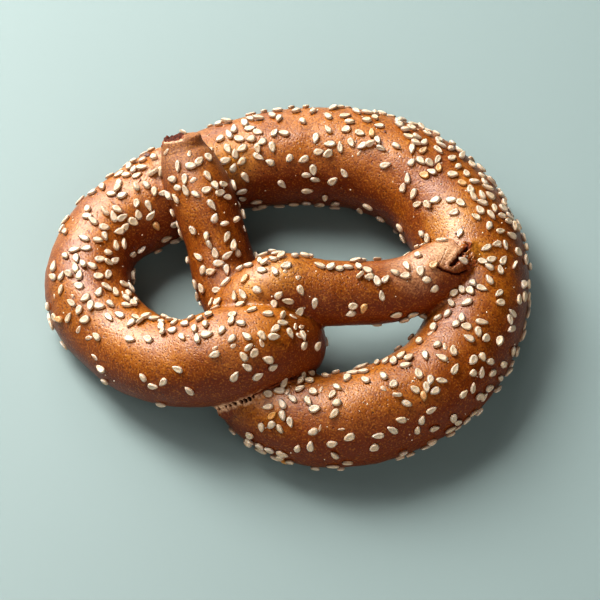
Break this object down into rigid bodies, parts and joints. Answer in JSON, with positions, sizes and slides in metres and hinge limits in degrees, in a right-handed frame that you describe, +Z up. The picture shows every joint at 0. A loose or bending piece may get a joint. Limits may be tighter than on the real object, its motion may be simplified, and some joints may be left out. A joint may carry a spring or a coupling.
{
  "type": "spelt pretzel",
  "caption": "Baked spelt pretzel of one thick twisted dough strand, glossy brown crust scattered with sesame seeds, tips pressed onto the curved belly.",
  "frame": {"origin": "on the surface that the pretzel lies on, under the middle of its box", "axes": "+X from the left lobe to the right lobe, +Y from the twist to the belly, +Z up, the shown side on top"},
  "size_m": [0.1339, 0.1127, 0.0352],
  "materials": {
    "crust": "satin baked crust, amber brown with golden and dark brown areas",
    "sesame": "matt cream-white hulled sesame, a few seeds toasted golden"
  },
  "bodies": {
    "root": {"pretzel": "crust"}
  },
  "joints": []
}
